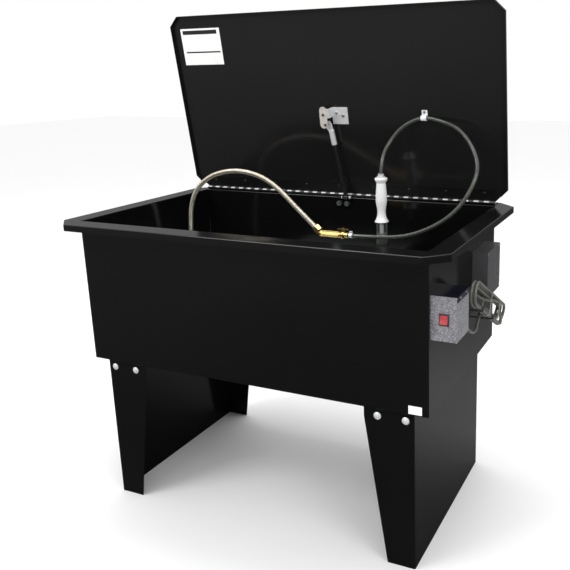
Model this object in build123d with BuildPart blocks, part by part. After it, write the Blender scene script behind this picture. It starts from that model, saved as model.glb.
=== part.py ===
"""Parts washer tank: a free-standing sheet-steel solvent tank on two folded legs.

Millimetres, +Z up, front of the tank towards -Y, control box on the +X end.
Every piece is one STEP file in parts/.
"""

import os
from math import acos, cos, radians, sin, sqrt, tan

from build123d import *

# ---------------------------------------------------------------- driving dimensions
TANK_W = 900.0          # tub width over the sheet
TANK_D = 510.0          # tub depth over the sheet
TANK_Z = 376.0          # underside of the tub
RIM_Z = 732.0           # top of the rim
SHEET = 1.5             # tub and lid sheet
RIM_OUT = 48.0          # rim projection
RIM_LIP = 16.0          # height of the down-turned lip
RIM_CUT = 44.5          # corner chamfer of the rim

HINGE_Y = 259.0
HINGE_Z = 737.5
LID_OPEN = 81.0         # degrees from closed to open
LID_W = 966.0
LID_L = 502.0

LEG_X = 415.0           # outer face of each leg's side panel
LEG_SHEET = 2.0
LEG_FRONT = -246.0
LEG_REAR = 239.0
LEG_TOP_W = 117.0
LEG_FOOT_W = 66.0
LEG_TAPER_Z = 351.0

BOLT_X = (330.0, 395.0)
BOLT_Z = 356.0
BOLT_R = 4.0

FRAME_X = 5.0           # half of what the control box stands out past the rim

IX = TANK_W / 2
IY = TANK_D / 2

os.makedirs("parts", exist_ok=True)
LID = Plane(
    origin=(0, HINGE_Y, HINGE_Z),
    x_dir=(1, 0, 0),
    z_dir=(0, -sin(radians(LID_OPEN)), -cos(radians(LID_OPEN))),
)


# ---------------------------------------------------------------- helpers
def save(piece, name):
    """Write one piece, moved so that the frame sits at the middle of the whole."""
    moved = Pos(-FRAME_X, 0, 0) * piece
    moved.label = name
    export_step(moved, "parts/" + name + ".step")


def block(x0, x1, y0, y1, z0, z1, mode=Mode.ADD):
    """Box by its limits."""
    with Locations(((x0 + x1) / 2, (y0 + y1) / 2, (z0 + z1) / 2)):
        Box(x1 - x0, y1 - y0, z1 - z0, mode=mode)


def rod_x(radius, x0, x1, y, z, mode=Mode.ADD):
    """Round bar along X."""
    with Locations(((x0 + x1) / 2, y, z)):
        Cylinder(radius, x1 - x0, rotation=(0, 90, 0), mode=mode)


def rod_y(radius, x, y0, y1, z, mode=Mode.ADD):
    """Round bar along Y."""
    with Locations((x, (y0 + y1) / 2, z)):
        Cylinder(radius, y1 - y0, rotation=(90, 0, 0), mode=mode)


def rod_z(radius, x, y, z0, z1, mode=Mode.ADD):
    """Round bar along Z."""
    with Locations((x, y, (z0 + z1) / 2)):
        Cylinder(radius, z1 - z0, mode=mode)


def lid_block(x0, x1, s0, s1, o0, o1, mode=Mode.ADD):
    """Box in the lid's own plane: across, up the lid, out of the lid."""
    with Locations(LID):
        with Locations(((x0 + x1) / 2, (s0 + s1) / 2, (o0 + o1) / 2)):
            Box(x1 - x0, s1 - s0, o1 - o0, mode=mode)


def lid_rod(radius, x, s, o0, o1, mode=Mode.ADD):
    """Round bar square to the lid."""
    with Locations(LID):
        with Locations((x, s, (o0 + o1) / 2)):
            Cylinder(radius, o1 - o0, mode=mode)


def bend_radii(points):
    """Radius of each bend: 0.45 of the shorter run, over the tangent of half the turn."""
    found = []
    for i in range(1, len(points) - 1):
        a = Vector(*points[i]) - Vector(*points[i - 1])
        b = Vector(*points[i + 1]) - Vector(*points[i])
        turn = acos(a.dot(b) / a.length / b.length)
        found.append(0.45 * min(a.length, b.length) / tan(turn / 2))
    print("bend radii", [round(r) for r in found])
    return found


def length_of(path):
    """Length of a drawn path, rounded."""
    return round(sum(edge.length for edge in path.edges()))


def lid_point(x, s, o):
    """Point of the lid's plane in the frame."""
    return LID.from_local_coords(Vector(x, s, o))


# ---------------------------------------------------------------- tub
HINGE_SCREW_X = [-420.0 + 105.0 * i for i in range(9)]
HINGE_SCREW_Y = 283.0
DRAIN = (180.0, -60.0)
STAY_BOLTS = ((27.0, 714.0), (3.0, 714.0))
BOX_BOLTS = ((-205.0, 572.0), (-205.0, 606.0))
JUNCTION_BOLTS = ((80.0, 600.0), (138.0, 600.0))
PUMP_GLAND = (-188.0, 622.0)

with BuildPart() as tub:
    with BuildSketch(Plane.XY.offset(TANK_Z)):
        RectangleRounded(TANK_W, TANK_D, 3.0)
    extrude(amount=RIM_Z - RIM_LIP - TANK_Z)
    fillet(tub.faces().sort_by(Axis.Z)[0].edges(), 2.5)
    with BuildSketch(Plane.XY.offset(RIM_Z - RIM_LIP)) as rim_outline:
        Rectangle(TANK_W + 2 * RIM_OUT, TANK_D + 2 * RIM_OUT)
        chamfer(rim_outline.vertices(), RIM_CUT)
    extrude(amount=RIM_LIP)
    fillet(tub.faces().sort_by(Axis.Z)[-1].edges(), 2.4)
    with BuildSketch(Plane.XY.offset(RIM_Z - RIM_LIP)) as rim_pocket:
        Rectangle(TANK_W + 2 * RIM_OUT - 2 * SHEET, TANK_D + 2 * RIM_OUT - 2 * SHEET)
        chamfer(rim_pocket.vertices(), RIM_CUT - 0.6 * SHEET)
        RectangleRounded(TANK_W, TANK_D, 3.0, mode=Mode.SUBTRACT)
    extrude(amount=RIM_LIP - SHEET, mode=Mode.SUBTRACT)
    with BuildSketch(Plane.XY.offset(TANK_Z + SHEET)):
        RectangleRounded(TANK_W - 2 * SHEET, TANK_D - 2 * SHEET, 1.5)
    extrude(amount=RIM_Z - TANK_Z, mode=Mode.SUBTRACT)
    # rolled bend where the walls turn out into the rim
    turned = [
        e
        for e in tub.edges()
        if abs(e.center().Z - RIM_Z) < 0.01 and abs(e.center().X) < IX and abs(e.center().Y) < IY
    ]
    fillet(turned, 2.4)
    with Locations(*[(x, HINGE_SCREW_Y, RIM_Z) for x in HINGE_SCREW_X]):
        Cylinder(2.1, 8, mode=Mode.SUBTRACT)
    rod_z(15.1, DRAIN[0], DRAIN[1], TANK_Z - 5, TANK_Z + 5, Mode.SUBTRACT)
    for x, z in STAY_BOLTS:
        rod_y(4.1, x, IY - 5, IY + 5, z, Mode.SUBTRACT)
    for y, z in BOX_BOLTS + JUNCTION_BOLTS:
        rod_x(2.6, IX - 5, IX + 5, y, z, Mode.SUBTRACT)
    rod_x(8.05, IX - 5, IX + 5, PUMP_GLAND[0], PUMP_GLAND[1], Mode.SUBTRACT)
save(tub.part, "tub")

# ---------------------------------------------------------------- legs
for side, name in ((-1, "leg_left"), (1, "leg_right")):
    with BuildPart() as leg:
        x0, x1 = sorted((side * (LEG_X - LEG_SHEET), side * LEG_X))
        block(x0, x1, LEG_FRONT, LEG_REAR, 0, TANK_Z)
        for y in (LEG_FRONT + LEG_SHEET, LEG_REAR):
            with BuildSketch(Plane.XZ.offset(-y)):
                with BuildLine():
                    Polyline(
                        (side * LEG_X, 0),
                        (side * (LEG_X - LEG_FOOT_W), 0),
                        (side * (LEG_X - LEG_TOP_W), LEG_TAPER_Z),
                        (side * (LEG_X - LEG_TOP_W), TANK_Z),
                        (side * LEG_X, TANK_Z),
                        close=True,
                    )
                make_face()
            extrude(amount=LEG_SHEET)
        bends = leg.edges().filter_by(Axis.Z).group_by(SortBy.LENGTH)[-1]
        outer = [e for e in bends if abs(abs(e.center().X) - LEG_X) < 0.1]
        fillet(outer, LEG_SHEET)
        for x in BOLT_X:
            rod_y(4.2, side * x, LEG_FRONT - 5, LEG_REAR + 5, BOLT_Z, Mode.SUBTRACT)
    save(leg.part, name)

# angle cleats spot-welded under the tub, one behind each leg flange
ANGLE = 3.0
ANGLE_FRONT = LEG_FRONT + LEG_SHEET
ANGLE_REAR = LEG_REAR - LEG_SHEET
with BuildPart() as tank_angles:
    for side in (-1, 1):
        x0, x1 = sorted((side * 307.0, side * 411.0))
        block(x0, x1, ANGLE_FRONT, ANGLE_FRONT + 38, TANK_Z - ANGLE, TANK_Z)
        block(x0, x1, ANGLE_FRONT, ANGLE_FRONT + ANGLE, TANK_Z - 38, TANK_Z)
        block(x0, x1, ANGLE_REAR - 38, ANGLE_REAR, TANK_Z - ANGLE, TANK_Z)
        block(x0, x1, ANGLE_REAR - ANGLE, ANGLE_REAR, TANK_Z - 38, TANK_Z)
        for x in BOLT_X:
            rod_y(4.2, side * x, LEG_FRONT - 5, LEG_REAR + 5, BOLT_Z, Mode.SUBTRACT)
save(tank_angles.part, "tank_angles")

BOLT_SPOTS = [(side * x, face) for side in (-1, 1) for x in BOLT_X for face in (-1, 1)]
FACE_Y = {-1: LEG_FRONT, 1: LEG_REAR}
BACK_Y = {-1: ANGLE_FRONT + ANGLE, 1: ANGLE_REAR - ANGLE}

# dome-head bolts, head 17 wide
HEAD_R = 8.5
HEAD_H = 4.4
DOME_R = (HEAD_R**2 + (HEAD_H - 0.8) ** 2) / (2 * (HEAD_H - 0.8))
with BuildPart() as leg_bolts:
    for x, face in BOLT_SPOTS:
        y = FACE_Y[face]
        with BuildSketch(Plane(origin=(x, y, BOLT_Z), x_dir=(1, 0, 0), z_dir=(0, 0, 1))):
            with BuildLine():
                Polyline((0, 0), (HEAD_R, 0), (HEAD_R, face * 0.8))
                ThreePointArc(
                    (HEAD_R, face * 0.8),
                    (HEAD_R * 0.5, face * (HEAD_H - DOME_R + sqrt(DOME_R**2 - HEAD_R**2 / 4))),
                    (0, face * HEAD_H),
                )
                Line((0, face * HEAD_H), (0, 0))
            make_face()
        revolve(axis=Axis((x, 0, BOLT_Z), (0, 1, 0)))
        rod_y(BOLT_R, x, *sorted((y, y - face * 17.5)), BOLT_Z)
save(leg_bolts.part, "leg_bolts")

with BuildPart() as leg_washers:
    for x, face in BOLT_SPOTS:
        y = BACK_Y[face]
        rod_y(8.5, x, *sorted((y, y - face * 1.6)), BOLT_Z)
        rod_y(4.2, x, *sorted((y + face, y - face * 3)), BOLT_Z, Mode.SUBTRACT)
save(leg_washers.part, "leg_washers")

with BuildPart() as hex_nuts:
    for x, face in BOLT_SPOTS:
        y = BACK_Y[face] - face * 1.6
        with BuildSketch(Plane(origin=(x, y, BOLT_Z), x_dir=(1, 0, 0), z_dir=(0, -face, 0))):
            RegularPolygon(7.5, 6)
            Circle(4.05, mode=Mode.SUBTRACT)
        extrude(amount=6.5)
    for x, z in STAY_BOLTS:
        with BuildSketch(Plane(origin=(x, IY, z), x_dir=(1, 0, 0), z_dir=(0, 1, 0))):
            RegularPolygon(7.5, 6)
            Circle(4.05, mode=Mode.SUBTRACT)
        extrude(amount=6.5)
save(hex_nuts.part, "hex_nuts")

# ---------------------------------------------------------------- drain
with BuildPart() as drain_fitting:
    rod_z(24, *DRAIN, TANK_Z + SHEET, TANK_Z + SHEET + 3)
    rod_z(15, *DRAIN, TANK_Z - 30, TANK_Z + SHEET + 1)
    rod_z(11, *DRAIN, TANK_Z - 31, TANK_Z + 10, Mode.SUBTRACT)
    with BuildSketch(Plane.XY.offset(TANK_Z - 10)):
        with Locations(DRAIN):
            RegularPolygon(25, 6)
            Circle(15.05, mode=Mode.SUBTRACT)
    extrude(amount=10)
save(drain_fitting.part, "drain_fitting")

with BuildPart() as drain_plug:
    rod_z(10.95, *DRAIN, TANK_Z - 33, TANK_Z - 14)
    rod_z(15, *DRAIN, TANK_Z - 34, TANK_Z - 30)
    x, y = DRAIN
    block(x - 6, x + 6, y - 6, y + 6, TANK_Z - 42, TANK_Z - 33)
save(drain_plug.part, "drain_plug")

# ---------------------------------------------------------------- work shelf
SHELF_Z = 520.0
SHELF_X0 = -290.0
SHELF_X1 = 90.0
with BuildPart() as work_shelf:
    block(SHELF_X0, SHELF_X1, -250, 250, SHELF_Z, SHELF_Z + 1.5)
    block(SHELF_X0, SHELF_X0 + 1.5, -230, 230, SHELF_Z - 14, SHELF_Z + 1)
    block(SHELF_X1 - 1.5, SHELF_X1, -230, 230, SHELF_Z - 14, SHELF_Z + 1)
    with BuildSketch(Plane.XY.offset(SHELF_Z - 1)):
        with Locations(((SHELF_X0 + SHELF_X1) / 2, 0)):
            with GridLocations(38, 38, 9, 12):
                Circle(9)
    extrude(amount=5, mode=Mode.SUBTRACT)
save(work_shelf.part, "work_shelf")

with BuildPart() as shelf_brackets:
    for side in (-1, 1):
        y = side * (IY - SHEET)
        block(SHELF_X0, SHELF_X1, *sorted((y, y - side * 20)), SHELF_Z - 2, SHELF_Z)
        block(SHELF_X0, SHELF_X1, *sorted((y, y - side * 2)), SHELF_Z - 22, SHELF_Z)
save(shelf_brackets.part, "shelf_brackets")

# ---------------------------------------------------------------- pump and riser
PUMP = (-397.0, 90.0)
FLOOR = TANK_Z + SHEET
RISER_Z = 500.0
with BuildPart() as pump_strainer:
    rod_z(46, *PUMP, FLOOR, FLOOR + 16)
    rod_z(43, *PUMP, FLOOR + 2, FLOOR + 20, Mode.SUBTRACT)
    with Locations((PUMP[0], PUMP[1], FLOOR + 9)):
        with PolarLocations(44, 18):
            Box(10, 6, 8, mode=Mode.SUBTRACT)
save(pump_strainer.part, "pump_strainer")

with BuildPart() as pump_body:
    rod_z(42.9, *PUMP, FLOOR + 6, FLOOR + 16)
    rod_z(40, *PUMP, FLOOR + 16, FLOOR + 88)
    rod_z(30, *PUMP, FLOOR + 88, FLOOR + 96)
    rod_z(11, *PUMP, FLOOR + 96, FLOOR + 108)
    fillet(pump_body.edges().filter_by(GeomType.CIRCLE).sort_by(Axis.Z)[-2:-1], 1.5)
    rod_z(6.1, *PUMP, FLOOR + 90, FLOOR + 110, Mode.SUBTRACT)
    with Locations((PUMP[0], PUMP[1], FLOOR + 52)):
        with PolarLocations(41, 12):
            Box(6, 3, 60)
save(pump_body.part, "pump_body")

# gland for the pump's own cord, open
with BuildPart() as pump_gland:
    y, z = PUMP_GLAND
    rod_x(8, IX - 12, IX + 9, y, z)
    rod_x(12, IX - SHEET - 4, IX - SHEET, y, z)
    rod_x(3.6, IX - 15, IX + 12, y, z, Mode.SUBTRACT)
    with BuildSketch(Plane.YZ.offset(IX + 1.2)):
        with Locations(PUMP_GLAND):
            RegularPolygon(12.5, 6)
            Circle(8.05, mode=Mode.SUBTRACT)
    extrude(amount=4)
save(pump_gland.part, "pump_gland")

# ---------------------------------------------------------------- flexible spout
RISER = FLOOR + 108
with BuildPart() as spout_base:
    rod_z(6.05, *PUMP, FLOOR + 92, RISER + 6)
    with BuildSketch(Plane.XY.offset(RISER)):
        with Locations(PUMP):
            RegularPolygon(12, 6)
    extrude(amount=14)
    rod_z(8.5, *PUMP, RISER + 14, RISER + 30)
    rod_z(4, *PUMP, FLOOR + 91, RISER + 31, Mode.SUBTRACT)
    rod_z(6.1, *PUMP, RISER + 16, RISER + 31, Mode.SUBTRACT)
save(spout_base.part, "spout_base")

VALVE = Vector(68, 19, 681)
SPOUT_END = Vector(60.9, 20.2, 686.4)
SPOUT_POINTS = [
    (-397, 90, RISER + 16.2),
    (-397, 90, 590),
    (-391, 88, 664),
    (-382, 85, 716),
    (-355, 80, 765),
    (-301, 72, 803),
    (-236, 65, 821),
    (-178, 58, 823),
    (-120, 50, 812),
    (-68, 42, 787),
    (-12, 32, 742),
    (60.9, 20.2, 686.4),
]
with BuildPart() as gooseneck:
    with BuildLine() as spout_path:
        FilletPolyline(*SPOUT_POINTS, radius=bend_radii(SPOUT_POINTS))
    with BuildSketch(Plane(origin=spout_path.line @ 0, z_dir=spout_path.line % 0)):
        Circle(6)
        Circle(4.2, mode=Mode.SUBTRACT)
    sweep(path=spout_path.line)
print("gooseneck", round(gooseneck.part.volume), "length", length_of(spout_path))
save(gooseneck.part, "gooseneck")

# nut along the end of the spout
NUT_DIR = (VALVE - SPOUT_END).normalized()
NUT = Plane(origin=VALVE - NUT_DIR * 23, z_dir=NUT_DIR)
with BuildPart() as spout_nut:
    with BuildSketch(NUT):
        RegularPolygon(10.5, 6)
        Circle(6.3, mode=Mode.SUBTRACT)
    extrude(amount=14)
save(spout_nut.part, "spout_nut")

# ---------------------------------------------------------------- quarter-turn valve
VY = VALVE.Y
VZ = VALVE.Z
LEVER_X = 128.0
with BuildPart() as valve_body:
    with Locations(VALVE):
        Sphere(8.4)
    with BuildSketch(Plane.YZ.offset(VALVE.X)):
        with Locations((VY, VZ)):
            RegularPolygon(8.4, 8)
    extrude(amount=50)
    rod_x(7.2, VALVE.X, 142, VY, VZ)
    with Locations((LEVER_X, VY, VZ)):
        Sphere(9.5)
    rod_z(5, LEVER_X, VY, VZ, VZ + 12.5)
    rod_x(3.45, 142, 158, VY, VZ)
    rod_x(2.2, VALVE.X + 2, 159, VY, VZ, Mode.SUBTRACT)
    rod_z(2.56, LEVER_X, VY, VZ + 3.5, VZ + 14, Mode.SUBTRACT)
save(valve_body.part, "valve_body")

with BuildPart() as valve_lever:
    rod_z(2.5, LEVER_X, VY, VZ + 4, VZ + 16)
    with BuildSketch(Plane.XY.offset(VZ + 13)):
        with Locations((LEVER_X, VY)):
            SlotOverall(30, 8)
    extrude(amount=2.5)
    rod_z(3.4, LEVER_X, VY, VZ + 15, VZ + 18)
save(valve_lever.part, "valve_lever")

with BuildPart() as hose_clamp:
    rod_x(6.4, 144.5, 153.5, VY, VZ)
    block(145.5, 152.5, VY - 3, VY + 3, VZ + 5, VZ + 11)
    rod_x(5.05, 140, 160, VY, VZ, Mode.SUBTRACT)
save(hose_clamp.part, "hose_clamp")

# ---------------------------------------------------------------- brush hose
BRUSH = (176.0, 150.0)
HOSE_POINTS = [
    (142.2, VY, VZ),
    (200, VY, VZ),
    (285, 30, 684),
    (350, 52, 708),
    (399, 76, 744),
    (427, 102, 790),
    (440, 130, 840),
    (420, 158, 886),
    (376, 190, 930),
    (324, 214, 948),
    (263, 225.5, 959.2),
    (209, 214, 934),
    (182, 190, 893),
    (175, 160, 858),
    (176, 150, 820),
]
with BuildPart() as brush_hose:
    with BuildLine() as hose_path:
        FilletPolyline(*HOSE_POINTS, radius=bend_radii(HOSE_POINTS))
    with BuildSketch(Plane(origin=hose_path.line @ 0, z_dir=hose_path.line % 0)):
        Circle(5)
        Circle(3.5, mode=Mode.SUBTRACT)
    sweep(path=hose_path.line)
print("hose", round(brush_hose.part.volume), "length", length_of(hose_path))
save(brush_hose.part, "brush_hose")

# saddle clip holding the hose against the lid
CLIP = (267.5, 220.8, 1.65)
CLIP_SCREW_S = 235.0
with BuildPart() as hose_clip:
    lid_block(260, 275, 221, 240, -5.5, -4.3)
    with Locations(LID):
        with Locations(CLIP):
            Cylinder(7.1, 15, rotation=(0, 90, 0))
            Cylinder(6.0, 16, rotation=(0, 90, 0), mode=Mode.SUBTRACT)
    lid_rod(2.1, CLIP[0], CLIP_SCREW_S, -6, -3, Mode.SUBTRACT)
save(hose_clip.part, "hose_clip")

# ---------------------------------------------------------------- flow-through brush
with BuildPart() as brush_collar:
    rod_z(7.5, *BRUSH, 806, 818)
    rod_z(10.5, *BRUSH, 808.1, 812)
    rod_z(3, *BRUSH, 805, 819, Mode.SUBTRACT)
save(brush_collar.part, "brush_collar")

with BuildPart() as brush_handle:
    with BuildSketch(Plane(origin=(*BRUSH, 0), x_dir=(1, 0, 0), z_dir=(0, -1, 0))):
        with BuildLine():
            Line((0, 808), (14.6, 808))
            Spline((14.6, 808), (16.5, 806), (16.2, 802), (11.9, 794))
            Spline((11.9, 794), (13.0, 782), (14.7, 756), (13.9, 740), (11.0, 722), (13.0, 704), (17.9, 694))
            Spline((17.9, 694), (18.2, 692), (16.6, 691))
            Line((16.6, 691), (0, 691))
            Line((0, 691), (0, 808))
        make_face()
    revolve(axis=Axis((*BRUSH, 0), (0, 0, 1)))
    rod_z(7.55, *BRUSH, 805.9, 809, Mode.SUBTRACT)
    rod_z(6.05, *BRUSH, 690, 760, Mode.SUBTRACT)
    rod_z(3, *BRUSH, 690, 809, Mode.SUBTRACT)
save(brush_handle.part, "brush_handle")

with BuildPart() as brush_tube:
    rod_z(6, *BRUSH, 672, 758)
    with Locations((*BRUSH, 661)):
        Cone(4.4, 6, 22)
    rod_z(2.5, *BRUSH, 640, 760, Mode.SUBTRACT)
save(brush_tube.part, "brush_tube")

with BuildPart() as brush_bristles:
    with Locations((*BRUSH, 659)):
        Cone(15.8, 14.4, 62)
    fillet(brush_bristles.faces().sort_by(Axis.Z)[0].edges(), 2)
    rod_z(6.1, *BRUSH, 649.9, 692, Mode.SUBTRACT)
    rod_z(2.4, *BRUSH, 626, 652, Mode.SUBTRACT)
save(brush_bristles.part, "brush_bristles")

# ---------------------------------------------------------------- lid
with BuildPart() as lid:
    with BuildSketch(LID.offset(-7.0)):
        with BuildLine():
            Polyline(
                (-448, 1), (448, 1), (483, 36), (483, LID_L - 27), (456, LID_L),
                (-456, LID_L), (-483, LID_L - 27), (-483, 36), close=True,
            )
        make_face()
    extrude(amount=11.5)
    back = [f for f in lid.faces() if f.normal_at().dot(LID.z_dir) < -0.99][0]
    side_edges = [e for e in back.edges() if LID.to_local_coords(e.center()).Y > 2]
    fillet(side_edges, 2.4)
    with BuildSketch(LID.offset(-5.5)):
        with BuildLine():
            Polyline(
                (-447, -2), (447, -2), (481.5, 36.6), (481.5, LID_L - 27.6),
                (455.4, LID_L - 1.5), (-455.4, LID_L - 1.5), (-481.5, LID_L - 27.6),
                (-481.5, 36.6), close=True,
            )
        make_face()
    extrude(amount=20, mode=Mode.SUBTRACT)
    for x in HINGE_SCREW_X:
        lid_rod(2.1, x, 24, -9, -3, Mode.SUBTRACT)
    lid_rod(2.1, CLIP[0], CLIP_SCREW_S, -9, -3, Mode.SUBTRACT)
    for x, s in ((15, 231), (34, 224)):
        lid_rod(2.6, x, s, -9, -3, Mode.SUBTRACT)
save(lid.part, "lid")

with BuildPart() as lid_label:
    lid_block(-457, -325, 367, 467, -5.5, -5.2)
save(lid_label.part, "lid_label")
with BuildPart() as lid_label_bars:
    lid_block(-450, -335, 451, 462, -5.2, -5.1)
    lid_block(-447, -331, 400, 404, -5.2, -5.1)
save(lid_label_bars.part, "lid_label_bars")

# ---------------------------------------------------------------- piano hinge
PITCH = 14.0
KNUCKLE = 13.8
TANK_KNUCKLES = [-448 + PITCH * (i + 0.5) for i in range(0, 64, 2)]
LID_KNUCKLES = [-448 + PITCH * (i + 0.5) for i in range(1, 64, 2)]
with BuildPart() as hinge_leaf_tank:
    block(-448, 448, 263.5, 295, RIM_Z, RIM_Z + 1.5)
    with Locations(*[(x, 261.5, RIM_Z + 0.9) for x in TANK_KNUCKLES]):
        Box(KNUCKLE, 5, 1.2)
    with Locations(*[(x, HINGE_Y, HINGE_Z) for x in TANK_KNUCKLES]):
        Cylinder(5.2, KNUCKLE, rotation=(0, 90, 0))
    rod_x(2.05, -449, 449, HINGE_Y, HINGE_Z, Mode.SUBTRACT)
    with Locations(*[(x, HINGE_SCREW_Y, RIM_Z) for x in HINGE_SCREW_X]):
        Cylinder(2.1, 8, mode=Mode.SUBTRACT)
save(hinge_leaf_tank.part, "hinge_leaf_tank")

with BuildPart() as hinge_leaf_lid:
    lid_block(-448, 448, 4.5, 36, -5.5, -4.0)
    with Locations(LID):
        with Locations(*[(x, 2.5, -4.6) for x in LID_KNUCKLES]):
            Box(KNUCKLE, 5, 1.2)
    with Locations(*[(x, HINGE_Y, HINGE_Z) for x in LID_KNUCKLES]):
        Cylinder(5.2, KNUCKLE, rotation=(0, 90, 0))
    rod_x(2.05, -449, 449, HINGE_Y, HINGE_Z, Mode.SUBTRACT)
    for x in HINGE_SCREW_X:
        lid_rod(2.1, x, 24, -9, -3, Mode.SUBTRACT)
save(hinge_leaf_lid.part, "hinge_leaf_lid")

with BuildPart() as hinge_pin:
    rod_x(2.0, -449, 449, HINGE_Y, HINGE_Z)
save(hinge_pin.part, "hinge_pin")

with BuildPart() as hinge_screws_tank:
    for x in HINGE_SCREW_X:
        rod_z(2.0, x, HINGE_SCREW_Y, RIM_Z - 7, RIM_Z + 2)
        with Locations((x, HINGE_SCREW_Y, RIM_Z + 1.5 + 1.1)):
            Cone(4.2, 2.6, 2.2)
save(hinge_screws_tank.part, "hinge_screws_tank")

with BuildPart() as hinge_screws_lid:
    for x in HINGE_SCREW_X:
        lid_rod(2.0, x, 24, -10, -3)
        with Locations(LID):
            with Locations((x, 24, -2.9)):
                Cone(4.2, 2.6, 2.2)
save(hinge_screws_lid.part, "hinge_screws_lid")

# ---------------------------------------------------------------- lid support
STAY_FOOT = Vector(27, 247, 733)
STAY_HEAD = lid_point(0, 200, 11)
STAY_DIR = (STAY_HEAD - STAY_FOOT).normalized()
STAY_LEN = (STAY_HEAD - STAY_FOOT).length
STAY = Plane(origin=STAY_FOOT, z_dir=STAY_DIR)
print("stay axis", STAY_DIR, "length", round(STAY_LEN, 2))

with BuildPart() as stay_plate:
    lid_block(2, 48, 201, 247, -5.5, -3.5)
    lid_block(2, 4, 222, 247, -5.5, 20)
    lid_block(-22, 4, 222, 247, 18, 20)
    for x, s in ((15, 231), (34, 224)):
        lid_rod(2.6, x, s, -9, -1, Mode.SUBTRACT)
    lid_rod(2.1, -13, 231, 15, 23, Mode.SUBTRACT)
save(stay_plate.part, "stay_plate")

with BuildPart() as lid_screws:
    for x, s in ((15, 231), (34, 224)):
        lid_rod(2.5, x, s, -11, -3.5)
        lid_rod(4.2, x, s, -3.5, -1.2)
    round_edges = lid_screws.edges().filter_by(GeomType.CIRCLE)
    fillet([e for e in round_edges if LID.to_local_coords(e.center()).Z > -1.3], 0.6)
    lid_rod(2.0, CLIP[0], CLIP_SCREW_S, -9, -4.3)
    lid_rod(3.4, CLIP[0], CLIP_SCREW_S, -4.3, -2.1)
save(lid_screws.part, "lid_screws")

with BuildPart() as fusible_link:
    with BuildSketch(LID.offset(20)):
        with Locations((-13, 234.5)):
            SlotOverall(37, 22, rotation=90)
    extrude(amount=1.25)
    with BuildSketch(LID.offset(21.25)):
        with Locations((-13, 217)):
            SlotOverall(46, 22, rotation=90)
    extrude(amount=1.25)
    lid_rod(2.1, -13, 231, 15, 25, Mode.SUBTRACT)
    lid_rod(2.1, -9, 204, 15, 25, Mode.SUBTRACT)
    lid_block(-11, -7, 243, 248, 19, 25, Mode.SUBTRACT)
save(fusible_link.part, "fusible_link")

with BuildPart() as link_rivets:
    lid_rod(2.0, -13, 231, 16, 24)
    lid_rod(3.8, -13, 231, 22.5, 24)
    lid_rod(3.8, -13, 231, 16, 18)
    # loose pin between the link and the sleeve's eye
    lid_rod(2.0, -9, 204, 4, 24)
    lid_rod(3.8, -9, 204, 22.5, 24)
    lid_rod(7.0, -9, 204, 3, 5)
save(link_rivets.part, "link_rivets")

with BuildPart() as stay_sleeve:
    with BuildSketch(STAY.offset(STAY_LEN - 54)):
        Circle(7.5)
    extrude(amount=42)
    tip = stay_sleeve.edges().filter_by(GeomType.CIRCLE)
    fillet(tip, 1.5)
    with BuildSketch(LID.offset(9.5)):
        with BuildLine():
            Polyline((-5.5, 183), (8.5, 183), (4, 203), (-1, 212), (-16, 212), (-19, 203), close=True)
        make_face()
    extrude(amount=3)
    lid_rod(5.0, -10, 203.2, 8, 14, Mode.SUBTRACT)
    with BuildSketch(STAY.offset(STAY_LEN - 55)):
        Circle(5.06)
    extrude(amount=38, mode=Mode.SUBTRACT)
save(stay_sleeve.part, "stay_sleeve")

with BuildPart() as stay_rod:
    with BuildSketch(STAY):
        Circle(5)
    extrude(amount=STAY_LEN - 36)
    rod_x(6, STAY_FOOT.X - 5.5, STAY_FOOT.X + 5.5, STAY_FOOT.Y, STAY_FOOT.Z)
    rod_x(2.56, 0, 60, STAY_FOOT.Y, STAY_FOOT.Z, Mode.SUBTRACT)
save(stay_rod.part, "stay_rod")

BACK = IY - SHEET
with BuildPart() as stay_bracket:
    block(-8, 42, BACK - 2, BACK, 703, 728)
    for x in (17.5, 34.5):
        block(x, x + 2, 240.5, BACK, 722, 740)
        rod_x(2.52, x - 1, x + 3, STAY_FOOT.Y, STAY_FOOT.Z, Mode.SUBTRACT)
    for x, z in STAY_BOLTS:
        rod_y(4.1, x, BACK - 5, BACK + 5, z, Mode.SUBTRACT)
save(stay_bracket.part, "stay_bracket")

with BuildPart() as stay_pivot_pin:
    rod_x(2.5, 14, 40, STAY_FOOT.Y, STAY_FOOT.Z)
    rod_x(4.5, 36.6, 41, STAY_FOOT.Y, STAY_FOOT.Z)
    fillet(stay_pivot_pin.edges().filter_by(GeomType.CIRCLE).sort_by(Axis.X)[-1], 2)
    rod_x(4.5, 14, 15.5, STAY_FOOT.Y, STAY_FOOT.Z)
save(stay_pivot_pin.part, "stay_pivot_pin")

with BuildPart() as stay_bracket_bolts:
    for x, z in STAY_BOLTS:
        with BuildSketch(Plane(origin=(x, BACK - 2, z), x_dir=(1, 0, 0), z_dir=(0, -1, 0))):
            RegularPolygon(7.5, 6)
        extrude(amount=5.3)
        rod_y(4, x, BACK - 3, IY + 13, z)
save(stay_bracket_bolts.part, "stay_bracket_bolts")

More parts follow.
